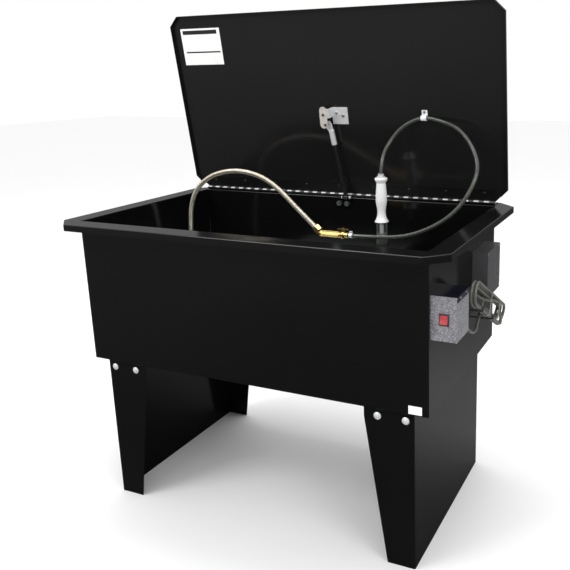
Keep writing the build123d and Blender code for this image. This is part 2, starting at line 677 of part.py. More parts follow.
# ---------------------------------------------------------------- control box
BOX = (450.0, 505.6, -246.0, -165.0, 545.0, 639.8)
WALL = 1.2
SWITCH = (479.0, 591.5)
GLAND = (484.0, 560.0)
COVER_SCREWS = ((-226.0, 634.5), (-185.0, 634.5))
with BuildPart() as control_box:
    block(*BOX)
    fillet(control_box.edges().filter_by(Axis.X).sort_by(Axis.Z)[:2], 1.1)
    block(
        BOX[0] + WALL, BOX[1] - WALL, BOX[2] + WALL, BOX[3] - WALL, BOX[4] + WALL, 700,
        Mode.SUBTRACT,
    )
    x, z = SWITCH
    block(x - 9.9, x + 9.9, -250, -240, z - 11.9, z + 11.9, Mode.SUBTRACT)
    rod_y(7.1, GLAND[0], -170, -160, GLAND[1], Mode.SUBTRACT)
    for y, z in BOX_BOLTS:
        rod_x(2.6, 445, 455, y, z, Mode.SUBTRACT)
    rod_x(8.05, 445, 455, *PUMP_GLAND, Mode.SUBTRACT)
    for y, z in COVER_SCREWS:
        rod_x(1.6, 500, 510, y, z, Mode.SUBTRACT)
save(control_box.part, "control_box")

with BuildPart() as control_box_cover:
    block(BOX[0], BOX[1] + WALL, BOX[2], BOX[3], BOX[5], BOX[5] + WALL)
    block(BOX[1], BOX[1] + WALL, BOX[2], BOX[3], 629, BOX[5] + WALL)
    for y, z in COVER_SCREWS:
        rod_x(1.6, 500, 510, y, z, Mode.SUBTRACT)
save(control_box_cover.part, "control_box_cover")

with BuildPart() as box_bolts:
    for y, z in BOX_BOLTS + JUNCTION_BOLTS:
        rod_x(2.5, IX - SHEET - 1, IX + 6, y, z)
        rod_x(4.5, IX - SHEET - 2.6, IX - SHEET, y, z)
    for y, z in BOX_BOLTS + JUNCTION_BOLTS:
        with BuildSketch(Plane.YZ.offset(IX + WALL)):
            with Locations((y, z)):
                RegularPolygon(4.6, 6)
                Circle(2.55, mode=Mode.SUBTRACT)
        extrude(amount=4)
save(box_bolts.part, "box_bolts")

# rocker switch in the front of the box
with BuildPart() as switch_bezel:
    x, z = SWITCH
    block(x - 10.6, x + 10.6, -248, -246, z - 12.6, z + 12.6)
    fillet(switch_bezel.faces().sort_by(Axis.Y)[0].edges(), 0.8)
    block(x - 9.7, x + 9.7, -247, -231, z - 11.7, z + 11.7)
    block(x - 8.5, x + 8.5, -249, -233, z - 10.4, z + 10.4, Mode.SUBTRACT)
save(switch_bezel.part, "switch_bezel")

TILT = radians(7)
ROCK = Plane(
    origin=(SWITCH[0] - 8, -243.5, SWITCH[1]), x_dir=(0, cos(TILT), -sin(TILT)), z_dir=(1, 0, 0)
)
with BuildPart() as switch_rocker:
    with BuildSketch(ROCK):
        with BuildLine():
            Polyline((-5.2, 0), (-6.8, 9.2), (2, 7), (3.2, 0), (2, -7), (-6.8, -9.2), close=True)
        make_face()
    extrude(amount=16)
save(switch_rocker.part, "switch_rocker")

# ---------------------------------------------------------------- junction box
JBOX = (450.0, 486.0, 52.0, 166.0, 545.0, 658.0)
JSCREWS = [(y, z) for y in (59.0, 159.0) for z in (552.0, 651.0)]
with BuildPart() as junction_box:
    block(*JBOX)
    block(JBOX[0] + WALL, 500, 52 + WALL, 166 - WALL, 545 + WALL, 658 - WALL, Mode.SUBTRACT)
    for y, z in JSCREWS:
        block(470, 486, *sorted((y - 5.9, y + 5.9)), z - 5.9, z + 5.9)
        rod_x(1.6, 468, 490, y, z, Mode.SUBTRACT)
    for y, z in JUNCTION_BOLTS:
        rod_x(2.6, 445, 455, y, z, Mode.SUBTRACT)
save(junction_box.part, "junction_box")

with BuildPart() as junction_cover:
    block(486, 487.5, *JBOX[2:])
    for y, z in JSCREWS:
        rod_x(1.6, 480, 490, y, z, Mode.SUBTRACT)
save(junction_cover.part, "junction_cover")

with BuildPart() as cover_screws:
    for y, z in COVER_SCREWS:
        rod_x(1.5, 500, 508, y, z)
        rod_x(2.8, BOX[1] + WALL, 508, y, z)
    for y, z in JSCREWS:
        rod_x(1.5, 475, 488.4, y, z)
        rod_x(3.4, 487.5, 488.4, y, z)
save(cover_screws.part, "cover_screws")

# ---------------------------------------------------------------- power cord
with BuildPart() as cord_gland:
    x, z = GLAND
    rod_y(7, x, -172, -160, z)
    rod_y(5.8, x, -160, -152, z)
    with BuildSketch(Plane(origin=(x, -165, z), x_dir=(1, 0, 0), z_dir=(0, 1, 0))):
        RegularPolygon(9.5, 6)
    extrude(amount=6)
    with BuildSketch(Plane(origin=(x, -166.2, z), x_dir=(1, 0, 0), z_dir=(0, -1, 0))):
        RegularPolygon(9.5, 6)
    extrude(amount=4)
    rod_y(3.7, x, -180, -150, z, Mode.SUBTRACT)
save(cord_gland.part, "cord_gland")

# hank of cord: one outer shape, 60 wide and 18 thick, lying down towards the rear
HANK_C = (497.5, 30.0, 540.0)
HANK_DIR = Vector(0, 0.883, -0.469)
HANK = Plane(origin=HANK_C, x_dir=HANK_DIR, z_dir=(1, 0, 0))
HANK_L = 310.0
HANK_W = 60.0
with BuildPart() as cord_hank:
    with BuildSketch(HANK.offset(-9)):
        SlotOverall(HANK_L, HANK_W)
    extrude(amount=18)
    rims = [f for f in cord_hank.faces() if abs(f.normal_at().X) > 0.9]
    fillet([e for f in rims for e in f.edges()], 8.4)
save(cord_hank.part, "cord_hank")

CORD_R = 3.6
CORD_POINTS = [
    (484, -171, 560),
    (484, -139, 560),
    (487, -100, 516),
    (490, -54, 499),
    (484, -18, 512),
    (483.6, 4, 528),
    (483.8, 26, 531),
]
with BuildPart() as power_cord:
    with BuildLine() as cord_path:
        FilletPolyline(*CORD_POINTS, radius=bend_radii(CORD_POINTS))
    with BuildSketch(Plane(origin=cord_path.line @ 0, z_dir=cord_path.line % 0)):
        Circle(CORD_R)
    sweep(path=cord_path.line)
print("cord", round(power_cord.part.volume), "length", length_of(cord_path))

PLUG_POINTS = [
    (468, -98.5, 600),
    (468, -66, 600),
    (474, -34, 586),
    (497.5, -2, 558),
]
with BuildPart() as plug_cord:
    with BuildLine() as plug_path:
        FilletPolyline(*PLUG_POINTS, radius=bend_radii(PLUG_POINTS))
    with BuildSketch(Plane(origin=plug_path.line @ 0, z_dir=plug_path.line % 0)):
        Circle(CORD_R)
    sweep(path=plug_path.line)
    add(cord_hank.part, mode=Mode.SUBTRACT)
print("plug cord", round(plug_cord.part.volume), "length", length_of(plug_path))
with BuildPart() as both_cords:
    add(power_cord.part)
    add(plug_cord.part)
save(both_cords.part, "power_cord")

with BuildPart() as plug:
    block(455, 481, -138, -100, 588, 612)
    fillet(plug.edges(), 4)
    with Locations((468, -93, 600)):
        Cone(7, 5.2, 16, rotation=(-90, 0, 0))
    rod_y(3.68, 468, -99, -80, 600, Mode.SUBTRACT)
save(plug.part, "plug")

with BuildPart() as plug_pins:
    block(461.2, 462.7, -156, -138, 600.8, 607.2)
    block(473.3, 474.8, -156, -138, 600.8, 607.2)
    rod_y(2.4, 468, -159, -138, 593.5)
save(plug_pins.part, "plug_pins")

# two bands round the hank
with BuildPart() as cord_ties:
    for t in (-20, 70):
        with BuildSketch(Plane(origin=HANK.from_local_coords(Vector(t - 2, 0, 0)), x_dir=(1, 0, 0), z_dir=HANK_DIR)):
            RectangleRounded(19.6, 61.6, 8.9)
            RectangleRounded(18.1, 60.1, 8.4, mode=Mode.SUBTRACT)
        extrude(amount=4)
save(cord_ties.part, "cord_ties")

# two hooks welded to the end wall that carry the hank
with BuildPart() as cord_hooks:
    for t in (-88, 16):
        with Locations(Plane(origin=HANK.from_local_coords(Vector(t, 0, 0)), x_dir=(1, 0, 0), z_dir=HANK_DIR)):
            with Locations((-18.5, 31.2, 0)):
                Box(58, 2, 12)
            with Locations((9.9, 26, 0)):
                Box(1.2, 12, 12)
            with Locations((-46.75, 42.2, 0)):
                Box(1.5, 24, 20)
save(cord_hooks.part, "cord_hooks")

# ---------------------------------------------------------------- front sticker
with BuildPart() as front_sticker:
    block(405, 435, -IY - 0.25, -IY, 379.2, 398)
save(front_sticker.part, "front_sticker")
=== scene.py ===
import math
import random

import bmesh
import bpy
from mathutils import Matrix, Vector


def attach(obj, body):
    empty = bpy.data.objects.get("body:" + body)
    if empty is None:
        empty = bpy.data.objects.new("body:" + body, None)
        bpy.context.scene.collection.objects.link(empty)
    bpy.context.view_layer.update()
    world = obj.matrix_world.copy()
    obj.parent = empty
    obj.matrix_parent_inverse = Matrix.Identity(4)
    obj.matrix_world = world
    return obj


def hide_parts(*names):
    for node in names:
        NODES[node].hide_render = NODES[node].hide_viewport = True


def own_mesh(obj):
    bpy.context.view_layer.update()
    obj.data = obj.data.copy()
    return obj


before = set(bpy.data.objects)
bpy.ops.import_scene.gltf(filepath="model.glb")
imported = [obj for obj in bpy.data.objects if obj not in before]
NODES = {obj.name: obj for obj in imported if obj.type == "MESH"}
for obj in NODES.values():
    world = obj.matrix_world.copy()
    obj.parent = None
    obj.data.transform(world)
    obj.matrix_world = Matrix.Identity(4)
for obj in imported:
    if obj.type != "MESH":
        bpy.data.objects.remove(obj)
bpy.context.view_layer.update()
random.seed(7)


def mm(x, y, z):
    """Millimetres of the drawing, tub centre at x 0, as metres of the row frame."""
    return Vector(((x - 5.0) / 1000.0, y / 1000.0, z / 1000.0))


HINGE_Y, HINGE_Z = 0.259, 0.7375  # the lid's axis, in metres


# ------------------------------------------------------------------ materials
class Graph:
    """Short ways to add shader nodes."""

    def __init__(self, name):
        self.mat = bpy.data.materials.new(name)
        self.mat.use_nodes = True
        self.t = self.mat.node_tree
        self.t.nodes.clear()
        out = self.t.nodes.new("ShaderNodeOutputMaterial")
        self.bsdf = self.t.nodes.new("ShaderNodeBsdfPrincipled")
        self.t.links.new(self.bsdf.outputs[0], out.inputs[0])
        self.coord = self.t.nodes.new("ShaderNodeTexCoord").outputs["Object"]
        self.bumps = []

    def set(self, **values):
        for key, value in values.items():
            self.bsdf.inputs[key.replace("_", " ")].default_value = value
        return self

    def link(self, a, b):
        self.t.links.new(a, b)

    def scaled(self, x, y, z):
        n = self.t.nodes.new("ShaderNodeMapping")
        n.inputs["Scale"].default_value = (x, y, z)
        self.link(self.coord, n.inputs["Vector"])
        return n.outputs[0]

    def noise(self, scale, detail=3.0, rough=0.5, vector=None):
        n = self.t.nodes.new("ShaderNodeTexNoise")
        n.inputs["Scale"].default_value = scale
        n.inputs["Detail"].default_value = detail
        n.inputs["Roughness"].default_value = rough
        self.link(vector or self.coord, n.inputs["Vector"])
        return n.outputs["Fac"]

    def cells(self, scale, feature="F1", randomness=1.0):
        n = self.t.nodes.new("ShaderNodeTexVoronoi")
        n.feature = feature
        n.inputs["Scale"].default_value = scale
        n.inputs["Randomness"].default_value = randomness
        self.link(self.coord, n.inputs["Vector"])
        return n.outputs["Distance"]

    def ramp(self, fac, stops):
        """Colour ramp; a stop's value is a grey number or a colour."""
        n = self.t.nodes.new("ShaderNodeValToRGB")
        while len(n.color_ramp.elements) < len(stops):
            n.color_ramp.elements.new(0.5)
        for e, (place, value) in zip(n.color_ramp.elements, stops):
            e.position = place
            e.color = (*value, 1) if isinstance(value, tuple) else (value, value, value, 1)
        self.link(fac, n.inputs[0])
        return n.outputs[0]

    def span(self, fac, low, high, a=0.0, b=1.0):
        n = self.t.nodes.new("ShaderNodeMapRange")
        n.inputs["From Min"].default_value = a
        n.inputs["From Max"].default_value = b
        n.inputs["To Min"].default_value = low
        n.inputs["To Max"].default_value = high
        self.link(fac, n.inputs["Value"])
        return n.outputs[0]

    def mix(self, fac, a, b, kind="MIX"):
        n = self.t.nodes.new("ShaderNodeMix")
        n.data_type = "RGBA"
        n.blend_type = kind
        for socket, value in ((n.inputs[0], fac), (n.inputs[6], a), (n.inputs[7], b)):
            if hasattr(value, "is_linked"):
                self.link(value, socket)
            elif isinstance(value, (int, float)):
                socket.default_value = value
            else:
                socket.default_value = (*value, 1)
        return n.outputs[2]

    def math(self, kind, a, b=0.0):
        n = self.t.nodes.new("ShaderNodeMath")
        n.operation = kind
        for socket, value in ((n.inputs[0], a), (n.inputs[1], b)):
            if hasattr(value, "is_linked"):
                self.link(value, socket)
            else:
                socket.default_value = value
        return n.outputs[0]

    def bump(self, height, strength, distance):
        self.bumps.append((height, strength, distance))
        return self

    def colour(self, socket):
        self.link(socket, self.bsdf.inputs["Base Color"])
        return self

    def rough(self, socket):
        self.link(socket, self.bsdf.inputs["Roughness"])
        return self

    def done(self):
        last = None
        for height, strength, distance in self.bumps:
            n = self.t.nodes.new("ShaderNodeBump")
            n.inputs["Strength"].default_value = strength
            n.inputs["Distance"].default_value = distance
            self.link(height, n.inputs["Height"])
            if last:
                self.link(last, n.inputs["Normal"])
            last = n.outputs[0]
        if last:
            self.link(last, self.bsdf.inputs["Normal"])
        return self.mat


def powder(name, dark, light, low, high, spec=0.5, peel=0.12):
    """Gloss powder coat: slight orange peel, smears, fine dust and scuffs."""
    g = Graph(name)
    g.set(Specular_IOR_Level=spec, IOR=1.5)
    cloud = g.noise(3.5, 5, 0.55)
    smear = g.noise(14, 6, 0.62, g.scaled(1.0, 1.0, 0.35))
    dust = g.cells(420, "F1")
    speck = g.ramp(dust, [(0.0, 1), (0.045, 0.6), (0.07, 0)])
    rare = g.ramp(g.noise(60, 2), [(0.55, 0), (0.66, 1)])
    specks = g.math("MULTIPLY", speck, rare)
    base = g.mix(cloud, dark, light)
    base = g.mix(g.math("MULTIPLY", specks, 0.35), base, (0.12, 0.12, 0.12))
    g.colour(base)
    r = g.span(smear, low, high, 0.35, 0.7)
    r = g.math("ADD", r, g.math("MULTIPLY", specks, 0.2))
    g.rough(r)
    g.bump(g.noise(170, 2, 0.4), peel, 0.0006)
    g.bump(g.noise(2.2, 2, 0.5), 0.05, 0.01)
    return g.done()


def metal(name, dark, light, low, high, grain=(40, 40, 900), strength=0.08, metallic=1.0):
    """Plated or brushed metal with fine directional grain and blotches."""
    g = Graph(name)
    g.set(Metallic=metallic)
    grain_ = g.noise(1.0, 4, 0.6, g.scaled(*grain))
    blot = g.noise(22, 4, 0.6)
    g.colour(g.mix(blot, dark, light))
    g.rough(g.math("ADD", g.span(blot, low, high), g.math("MULTIPLY", grain_, 0.08)))
    g.bump(grain_, strength, 0.0004)
    g.bump(g.noise(90, 3), 0.05, 0.0006)
    return g.done()


def plastic(name, dark, light, low, high, spec=0.5, fine=300, strength=0.05, coat=0.0):
    """Moulded plastic or rubber with fine surface grain and handling marks."""
    g = Graph(name)
    g.set(Specular_IOR_Level=spec, Coat_Weight=coat)
    blot = g.noise(26, 4, 0.6)
    g.colour(g.mix(g.ramp(blot, [(0.35, 0), (0.7, 1)]), dark, light))
    g.rough(g.span(g.noise(60, 4, 0.6), low, high, 0.3, 0.7))
    g.bump(g.noise(fine, 3, 0.6), strength, 0.0005)
    return g.done()


M = {}
M["tank"] = powder("tank_black", (0.0030, 0.0030, 0.0031), (0.0046, 0.0046, 0.0047), 0.10, 0.17)
# the lid has the tank's black paint, made lighter here as painted sheen standing in for the
# reflections on its face
M["lid"] = powder("lid_black_painted_sheen", (0.0080, 0.0080, 0.0082), (0.0108, 0.0108, 0.0110), 0.10, 0.17)
M["leg"] = powder("leg_black", (0.0026, 0.0026, 0.0027), (0.0042, 0.0042, 0.0043), 0.11, 0.19)
M["screw_black"] = powder("screw_black", (0.004, 0.004, 0.004), (0.008, 0.008, 0.008), 0.3, 0.4)
M["zinc"] = metal("zinc", (0.62, 0.63, 0.66), (0.86, 0.87, 0.88), 0.16, 0.34)
M["bright"] = metal(
    "bright_zinc", (0.84, 0.85, 0.86), (0.95, 0.95, 0.95), 0.3, 0.45, (40, 40, 500), 0.06, 0.55)
M["link"] = metal(
    "fusible_link", (0.78, 0.72, 0.66), (0.93, 0.88, 0.82), 0.3, 0.45, (60, 60, 300), 0.06, 0.5)
M["galv"] = metal(
    "galvanised", (0.42, 0.44, 0.46), (0.6, 0.62, 0.63), 0.28, 0.5, (60, 60, 60), 0.05)
M["brass"] = metal("brass", (0.62, 0.40, 0.10), (0.92, 0.70, 0.30), 0.14, 0.32, (700, 60, 60), 0.1)
M["rivet"] = metal(
    "rivet", (0.22, 0.15, 0.10), (0.38, 0.28, 0.18), 0.3, 0.45, (200, 200, 200), 0.05)
M["rod"] = powder("rod_black", (0.008, 0.008, 0.009), (0.014, 0.014, 0.015), 0.2, 0.32)
M["handle"] = plastic(
    "white_handle", (0.91, 0.92, 0.92), (0.96, 0.96, 0.96), 0.25, 0.4, 0.5, 240, 0.04, 0.25)
M["clip"] = plastic("white_clip", (0.78, 0.8, 0.82), (0.9, 0.92, 0.93), 0.25, 0.4)
M["pump"] = plastic(
    "pump_plastic", (0.02, 0.02, 0.022), (0.035, 0.035, 0.038), 0.35, 0.55, 0.5, 260, 0.2)
M["black_plastic"] = plastic(
    "black_plastic", (0.012, 0.012, 0.013), (0.025, 0.025, 0.026), 0.25, 0.45, 0.5, 300, 0.12)
M["bezel"] = plastic(
    "switch_bezel_grey", (0.045, 0.044, 0.050), (0.075, 0.073, 0.082), 0.25, 0.4, 0.5, 300, 0.08)
M["red"] = plastic(
    "red_rocker", (0.40, 0.03, 0.04), (0.58, 0.09, 0.10), 0.22, 0.34, 0.7, 260, 0.03, 0.6)
M["cover"] = powder("cover_black", (0.006, 0.0065, 0.011), (0.011, 0.012, 0.019), 0.08, 0.14)
M["junction"] = powder("junction_grey", (0.050, 0.050, 0.053), (0.085, 0.085, 0.089), 0.24, 0.36)


def hammertone():
    """Grey hammered enamel: dimpled cells, lighter at their centres and darker at their rims, with
    speckle.
    """
    g = Graph("hammertone")
    g.set(Metallic=0.35, Specular_IOR_Level=0.6)
    wobble = g.noise(55, 3, 0.6)
    cell = g.cells(210, "SMOOTH_F1", 0.9)
    fleck = g.noise(420, 3, 0.7)
    tone = g.mix(g.span(cell, 0.0, 1.0, 0.1, 0.75), (0.285, 0.285, 0.31), (0.185, 0.183, 0.20))
    tone = g.mix(g.ramp(fleck, [(0.5, 0), (0.66, 1)]), tone, (0.50, 0.50, 0.53))
    tone = g.mix(g.ramp(wobble, [(0.55, 0), (0.85, 1)]), tone, (0.16, 0.158, 0.172))
    g.colour(tone)
    g.rough(g.span(fleck, 0.22, 0.42, 0.3, 0.7))
    g.bump(cell, 0.35, 0.0012)
    g.bump(fleck, 0.12, 0.0004)
    return g.done()


M["hammer"] = hammertone()


def hinge_mat(name, low, high):
    """Black hinge leaf; its knuckles, the round part at the pin, are bare metal on their top side:
    partly wear, partly a painted highlight where the light falls.
    """
    g = Graph(name)
    apart = g.t.nodes.new("ShaderNodeSeparateXYZ")
    g.link(g.coord, apart.inputs[0])
    dy = g.math("SUBTRACT", apart.outputs["Y"], HINGE_Y)
    dz = g.math("SUBTRACT", apart.outputs["Z"], HINGE_Z)
    square = g.math("ADD", g.math("MULTIPLY", dy, dy), g.math("MULTIPLY", dz, dz))
    reach = g.math("SQRT", square)
    near_pin = g.span(reach, 1.0, 0.0, 0.0053, 0.0058)
    # painted highlight: the bare metal is kept to the top side of each knuckle, where the light
    # catches it
    upper_side_highlight = g.span(dz, 0.0, 1.0, 0.0014, 0.0030)
    knuckle = g.math("MULTIPLY", near_pin, upper_side_highlight)
    n = g.noise(240, 4, 0.6)
    patch = g.noise(11, 2, 0.5)
    wear_and_highlight = g.math("MULTIPLY", knuckle, g.span(g.math("ADD", n, patch), low, high, 0.75, 1.15))
    g.colour(g.mix(wear_and_highlight, (0.003, 0.003, 0.003), (0.85, 0.85, 0.85)))
    g.link(g.math("MULTIPLY", wear_and_highlight, 0.7), g.bsdf.inputs["Metallic"])
    g.set(Specular_IOR_Level=0.3)
    g.rough(g.span(n, 0.34, 0.5, 0.3, 0.7))
    g.bump(n, 0.1, 0.0004)
    return g.done()


M["hinge_tank"] = hinge_mat("hinge_tank", 0.75, 1.0)
M["hinge_lid"] = hinge_mat("hinge_lid", 0.0, 0.12)


def hose_mat():
    """Smoky clear vinyl, grey-green, wet inside."""
    g = Graph("clear_hose")
    g.set(Transmission_Weight=0.35, IOR=1.45, Coat_Weight=0.4, Coat_Roughness=0.08)
    n = g.noise(45, 4, 0.6)
    g.colour(g.mix(n, (0.045, 0.052, 0.042), (0.095, 0.105, 0.088)))
    g.rough(g.span(n, 0.12, 0.26, 0.3, 0.7))
    g.bump(g.noise(240, 3), 0.06, 0.0004)
    return g.done()


M["hose"] = hose_mat()


def spout_mat():
    """Flexible metal arm: warm silver, slightly stained."""
    g = Graph("spout_metal")
    g.set(Metallic=0.85)
    n = g.noise(70, 4, 0.65)
    big = g.noise(9, 3, 0.6)
    tone = g.mix(n, (0.46, 0.42, 0.34), (0.76, 0.72, 0.62))
    tone = g.mix(g.ramp(big, [(0.5, 0), (0.75, 1)]), tone, (0.52, 0.44, 0.30))
    g.colour(tone)
    g.rough(g.span(n, 0.22, 0.42, 0.3, 0.7))
    g.bump(g.noise(500, 3), 0.12, 0.0003)
    return g.done()


M["spout"] = spout_mat()


def cord_mat():
    """Grey-olive rubber jacket with dust, scuffs and fine extrusion lines."""
    g = Graph("cord_grey")
    g.set(Specular_IOR_Level=0.45)
    n = g.noise(60, 5, 0.65)
    fine = g.noise(650, 3, 0.6)
    tone = g.mix(n, (0.055, 0.057, 0.046), (0.135, 0.138, 0.115))
    tone = g.mix(g.ramp(fine, [(0.55, 0), (0.72, 1)]), tone, (0.17, 0.17, 0.15))
    g.colour(tone)
    g.set(Coat_Weight=0.8, Coat_Roughness=0.10)
    g.rough(g.span(n, 0.26, 0.44, 0.3, 0.7))
    g.bump(fine, 0.15, 0.0004)
    return g.done()


M["cord"] = cord_mat()
M["tie"] = plastic("tie_light", (0.22, 0.22, 0.19), (0.34, 0.34, 0.30), 0.3, 0.45)


def bristle_mat():
    g = Graph("bristle")
    g.set(Transmission_Weight=0.25, Specular_IOR_Level=0.4)
    n = g.noise(900, 2, 0.6, g.scaled(1, 1, 0.05))
    g.colour(g.mix(n, (0.10, 0.12, 0.10), (0.27, 0.30, 0.26)))
    g.rough(g.span(n, 0.3, 0.5))
    return g.done()


M["bristle"] = bristle_mat()


def paper(name, base, stain):
    g = Graph(name)
    g.set(Specular_IOR_Level=0.4)
    n = g.noise(30, 4, 0.6)
    g.colour(g.mix(g.ramp(n, [(0.45, 0), (0.8, 1)]), base, stain))
    g.rough(g.span(n, 0.3, 0.45, 0.3, 0.7))
    g.bump(g.noise(400, 3), 0.06, 0.0003)
    return g.done()


M["label"] = paper("label_white", (0.86, 0.86, 0.85), (0.78, 0.78, 0.76))
M["ink"] = paper("label_ink", (0.018, 0.018, 0.018), (0.03, 0.03, 0.03))

FINISH = {
    "tank": ["tub", "tank_angles", "shelf_brackets", "cord_hooks", "stay_bracket"],
    "leg": ["leg_left", "leg_right"],
    "lid": ["lid"],
    "screw_black": ["hinge_screws_tank", "hinge_screws_lid"],
    "zinc": ["leg_washers", "hex_nuts", "hinge_pin", "lid_screws", "stay_bracket_bolts",
             "cover_screws", "box_bolts"],
    "bright": ["leg_bolts", "stay_plate", "stay_pivot_pin", "stay_sleeve", "hose_clamp",
               "brush_collar", "brush_tube"],
    "rivet": ["link_rivets"],
    "link": ["fusible_link"],
    "galv": ["work_shelf"],
    "brass": ["drain_fitting", "drain_plug", "spout_base", "spout_nut", "valve_body",
              "valve_lever", "plug_pins"],
    "rod": ["stay_rod"],
    "handle": ["brush_handle"],
    "clip": ["hose_clip"],
    "pump": ["pump_strainer", "pump_body"],
    "black_plastic": ["pump_gland", "cord_gland"],
    "bezel": ["switch_bezel"],
    "red": ["switch_rocker"],
    "cover": ["control_box_cover"],
    "junction": ["junction_box", "junction_cover"],
    "hammer": ["control_box"],
    "hinge_tank": ["hinge_leaf_tank"],
    "hinge_lid": ["hinge_leaf_lid"],
    "hose": ["brush_hose"],
    "spout": ["gooseneck"],
    "cord": ["power_cord", "cord_hank", "plug"],
    "tie": ["cord_ties"],
    "bristle": ["brush_bristles"],
    "label": ["lid_label", "front_sticker"],
    "ink": ["lid_label_bars"],
}
for finish, names in FINISH.items():
    for name in names:
        node = NODES[name]
        for slot in node.material_slots:
            slot.material = M[finish]


# ------------------------------------------------------------------ small builders
def object_of(name, mesh, material):
    o = bpy.data.objects.new(name, mesh)
    bpy.context.collection.objects.link(o)
    o.data.materials.clear()
    o.data.materials.append(material)
    return o


def nurbs(name, points, radius, material, resolution=6):
    """Smooth round tube along a route of control points."""
    c = bpy.data.curves.new(name, "CURVE")
    c.dimensions = "3D"
    c.bevel_depth = radius
    c.bevel_resolution = 5
    c.use_fill_caps = True
    s = c.splines.new("NURBS")
    s.points.add(len(points) - 1)
    for p, q in zip(s.points, points):
        p.co = (*q, 1)
    s.order_u = 3
    s.use_endpoint_u = True
    s.resolution_u = resolution
    o = bpy.data.objects.new(name, c)
    bpy.context.collection.objects.link(o)
    c.materials.append(material)
    return o


def centreline(points, resolution=24):
    """Points read from the route's own NURBS spline."""
    o = nurbs("route", points, 0.0, M["tank"], resolution)
    bpy.context.view_layer.update()
    mesh = bpy.data.meshes.new_from_object(o.evaluated_get(bpy.context.evaluated_depsgraph_get()))
    line = [v.co.copy() for v in mesh.vertices]
    bpy.data.objects.remove(o)
    bpy.data.meshes.remove(mesh)
    return line


def even(line, step):
    """The line again at even spacing, for rings and ribs along it."""
    out = [line[0]]
    left = step
    for a, b in zip(line, line[1:]):
        length = (b - a).length
        at = 0.0
        while length - at >= left:
            at += left
            out.append(a.lerp(b, at / length))
            left = step
        left -= length - at
    out.append(line[-1])
    return out


def tube(name, line, radii, material, sides=20):
    """Mesh tube along a line with a radius at each point."""
    bm = bmesh.new()
    rings = []
    side = Vector((0, 1, 0))
    for i, p in enumerate(line):
        a = line[max(i - 1, 0)]
        b = line[min(i + 1, len(line) - 1)]
        along = (b - a).normalized()
        side = (side - along * side.dot(along)).normalized()
        other = along.cross(side)
        rings.append([
            bm.verts.new(p + (side * math.cos(t) + other * math.sin(t)) * radii[i])
            for t in [2 * math.pi * k / sides for k in range(sides)]
        ])
    for ring, after in zip(rings, rings[1:]):
        for k in range(sides):
            f = bm.faces.new((ring[k], ring[(k + 1) % sides], after[(k + 1) % sides], after[k]))
            f.smooth = True
    bm.faces.new(list(reversed(rings[0])))
    bm.faces.new(rings[-1])
    bm.normal_update()
    mesh = bpy.data.meshes.new(name)
    bm.to_mesh(mesh)
    bm.free()
    return object_of(name, mesh, material)


# ------------------------------------------------------------------ flexible spout
SPOUT = [mm(*p) for p in (
    (-397, 90, 501.7), (-397, 90, 590), (-391, 88, 664), (-382, 85, 716), (-355, 80, 765),
    (-301, 72, 803), (-236, 65, 821), (-178, 58, 823), (-120, 50, 812), (-68, 42, 787),
    (-12, 32, 742), (60.9, 20.2, 686.4),
)]
SPOUT_R, RIB_HEIGHT = 0.0060, 0.0005
RING_STEP, RINGS_PER_RIB = 0.0008, 4.0
line = even(centreline(SPOUT), RING_STEP)
ribs = [SPOUT_R + RIB_HEIGHT * math.sin(2 * math.pi * i / RINGS_PER_RIB) for i in range(len(line))]
spout = tube("spout_arm", line, ribs, M["spout"], 24)
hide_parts("gooseneck")
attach(spout, "cabinet")
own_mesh(spout)

# ------------------------------------------------------------------ brush hose
HOSE = [mm(*p) for p in (
    (142.2, 19, 681), (200, 19, 681), (285, 30, 684), (350, 52, 708), (399, 76, 744),
    (427, 102, 790), (440, 130, 840), (420, 158, 886), (376, 190, 930), (324, 214, 948),
    (263, 225.5, 959.2), (209, 214, 934), (182, 190, 893), (175, 160, 858), (176, 150, 820),
)]
line = centreline(HOSE)
HOSE_R = 0.005
hose = tube("brush_hose_tube", line, [HOSE_R] * len(line), M["hose"], 24)
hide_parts("brush_hose")
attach(hose, "cabinet")
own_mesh(hose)

# ------------------------------------------------------------------ power cord with its hank
HANK_X = 497.5
HANK_C = mm(HANK_X, 30, 540)
HANK_ALONG = Vector((0, 0.883, -0.469)).normalized()
HANK_UP = Vector((0, 0.469, 0.883)).normalized()
HANK_OUT = Vector((1, 0, 0))
CORD_R = 0.0036


def hank(t, p, x):
    """Along the hank, across it, and the drawing's x."""
    return HANK_C + (HANK_ALONG * t + HANK_UP * p + HANK_OUT * (x - HANK_X)) / 1000.0


def fold(centre, p_from, p_to, x_from, x_to, side):
    """Six points round one end of the hank."""
    r = abs(p_to - p_from) * 0.53
    mid = (p_from + p_to) / 2
    start, end = (-72, 72) if side > 0 else (108, 252)
    out = []
    for i in range(6):
        f = i / 5
        a = math.radians(start + (end - start) * f)
        x = x_from + (x_to - x_from) * f * f * (3 - 2 * f)
        out.append(hank(centre + r * math.cos(a), mid + r * math.sin(a), x))
    return out


def run(places, p, x, shift):
    """One strand along the hank, a little uneven."""
    return [
        hank(t, p + 0.5 * math.sin(t / 37 + shift), x + 0.35 * math.sin(t / 29 + 2 * shift))
        for t in places
    ]


